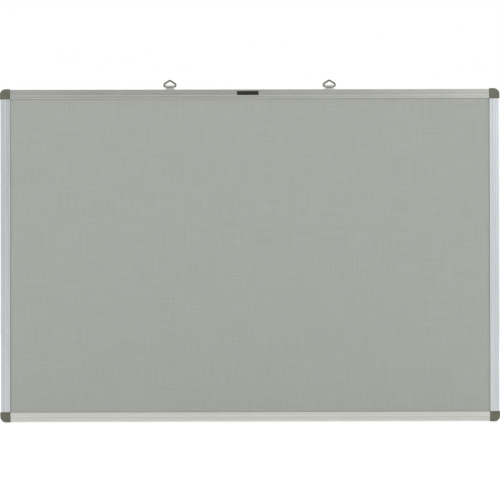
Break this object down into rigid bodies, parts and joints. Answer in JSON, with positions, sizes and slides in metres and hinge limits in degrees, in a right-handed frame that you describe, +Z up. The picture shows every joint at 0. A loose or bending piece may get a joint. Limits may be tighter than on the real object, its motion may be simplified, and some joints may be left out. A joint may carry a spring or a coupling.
{
  "type": "fabric notice board",
  "caption": "Wall-hung fabric notice board: a felt-covered panel in hollow extruded aluminium rails with moulded plug-in corner caps and hinged wire hanging rings.",
  "frame": {"origin": "centre of the board's 900 x 600 mm outline, on the wall plane that the corner caps' backs touch", "axes": "+Z up, +X to the right seen from the front, +Y out of the board's back and into the wall; the fabric faces -Y"},
  "size_m": [0.9, 0.0188, 0.6175],
  "materials": {
    "board_fabric": "plain woven grey polyester, matt",
    "soft_fibreboard": "raw soft fibreboard",
    "backing_board": "grey board, calendered smooth",
    "anodised_aluminium": "satin natural anodised",
    "cap_plastic": "fine spark-eroded grain, olive grey",
    "zinc_plated_screw": "zinc plated",
    "zinc_plated_strap": "zinc plated",
    "nickel_plated_wire": "nickel plated"
  },
  "bodies": {
    "board": {"backing_sheet": "backing_board", "core_board": "soft_fibreboard", "fabric_cover": "board_fabric", "top_rail": "anodised_aluminium", "bottom_rail": "anodised_aluminium", "left_rail": "anodised_aluminium", "right_rail": "anodised_aluminium", "corner_cap_top_left": "cap_plastic", "corner_cap_top_right": "cap_plastic", "corner_cap_bottom_left": "cap_plastic", "corner_cap_bottom_right": "cap_plastic", "cap_screw_top_left_a": "zinc_plated_screw", "cap_screw_top_left_b": "zinc_plated_screw", "cap_screw_top_right_a": "zinc_plated_screw", "cap_screw_top_right_b": "zinc_plated_screw", "cap_screw_bottom_left_a": "zinc_plated_screw", "cap_screw_bottom_left_b": "zinc_plated_screw", "cap_screw_bottom_right_a": "zinc_plated_screw", "cap_screw_bottom_right_b": "zinc_plated_screw", "hanger_strap_left": "zinc_plated_strap", "hanger_strap_right": "zinc_plated_strap", "hanger_screw_left_a": "zinc_plated_screw", "hanger_screw_left_b": "zinc_plated_screw", "hanger_screw_right_a": "zinc_plated_screw", "hanger_screw_right_b": "zinc_plated_screw"},
    "ring_left": {"hanger_ring_left": "nickel_plated_wire"},
    "ring_right": {"hanger_ring_right": "nickel_plated_wire"}
  },
  "joints": [
    {"name": "ring_left_hinge", "type": "hinge", "parent": "board", "child": "ring_left", "pos_m": [-0.144, -0.0053, 0.3051], "axis": [1, 0, 0], "range_deg": [-120, 112]},
    {"name": "ring_right_hinge", "type": "hinge", "parent": "board", "child": "ring_right", "pos_m": [0.144, -0.0053, 0.3051], "axis": [1, 0, 0], "range_deg": [-120, 112]}
  ]
}
